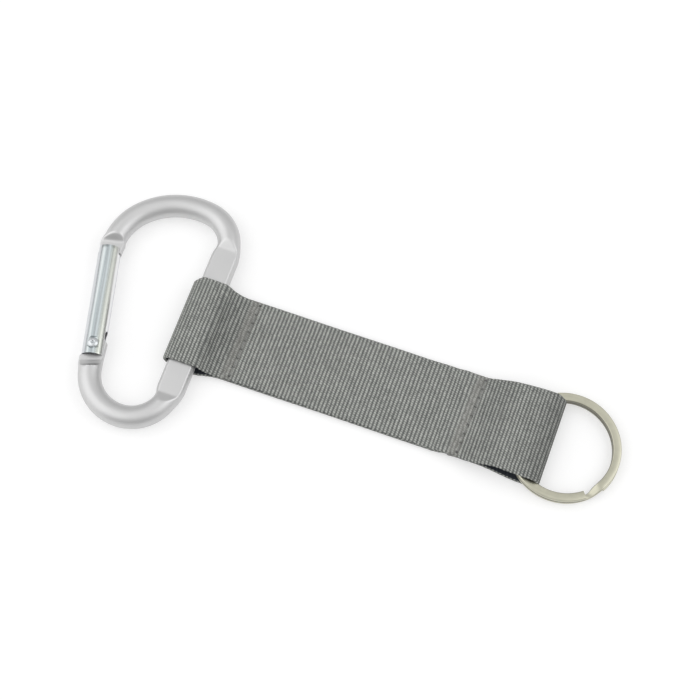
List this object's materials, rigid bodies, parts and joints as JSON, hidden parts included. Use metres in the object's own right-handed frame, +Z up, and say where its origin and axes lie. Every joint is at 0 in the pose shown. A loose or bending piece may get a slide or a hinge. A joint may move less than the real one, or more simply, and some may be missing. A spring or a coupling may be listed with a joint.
{
  "type": "lanyard keychain",
  "caption": "Short webbing lanyard keychain with a snap-gate carabiner at one end and a split key ring at the other, lying flat.",
  "frame": {"origin": "centre of the bounding box's base, on the table that the keychain lies on", "axes": "+X along the strap from the carabiner to the split ring, +Y across it towards the carabiner's wide nose end, +Z up"},
  "size_m": [0.1602, 0.0728, 0.0072],
  "materials": {
    "body_metal": "satin, drawn rod",
    "zinc_steel": "bright zinc plate with drawing lines along the tube",
    "spring_steel": "bright drawn wire",
    "nickel_steel": "nickel plate, warm grey",
    "webbing": "mid-grey ribbed polyester webbing",
    "thread": "grey polyester sewing thread"
  },
  "bodies": {
    "carabiner": {"carabiner_body": "body_metal"},
    "gate": {"gate_sleeve": "zinc_steel", "gate_rivet": "zinc_steel", "gate_spring": "spring_steel"},
    "plunger": {"gate_plunger": "spring_steel"},
    "strap": {"strap_webbing": "webbing", "carabiner_seam": "thread", "ring_seam": "thread"},
    "ring": {"split_ring": "nickel_steel"}
  },
  "joints": [
    {"name": "gate_hinge", "type": "hinge", "parent": "carabiner", "child": "gate", "pos_m": [-0.06989, -0.01623, 0.0033], "axis": [0, 0, -1], "range_deg": [0, 32], "stiffness_Nm_per_rad": 0.15, "springref_deg": -20.05},
    {"name": "plunger_slide", "type": "slide", "parent": "gate", "child": "plunger", "axis": [-0.2316, 0.9728, 0], "range_m": [0, 0.00155], "deforming": ["gate_spring"]},
    {"name": "strap_swing", "type": "hinge", "parent": "carabiner", "child": "strap", "pos_m": [-0.04457, 0, 0.0033], "axis": [0, -1, 0], "range_deg": [-140, 150], "deforming": ["strap_webbing"]},
    {"name": "ring_swing", "type": "hinge", "parent": "strap", "child": "ring", "pos_m": [0.04313, 0, 0.00165], "axis": [0, -1, 0], "range_deg": [-120, 120], "deforming": ["strap_webbing"]}
  ],
  "couplings": [
    {"joint": "plunger_slide", "follows": "gate_hinge", "m_per_rad": 0.0027}
  ]
}
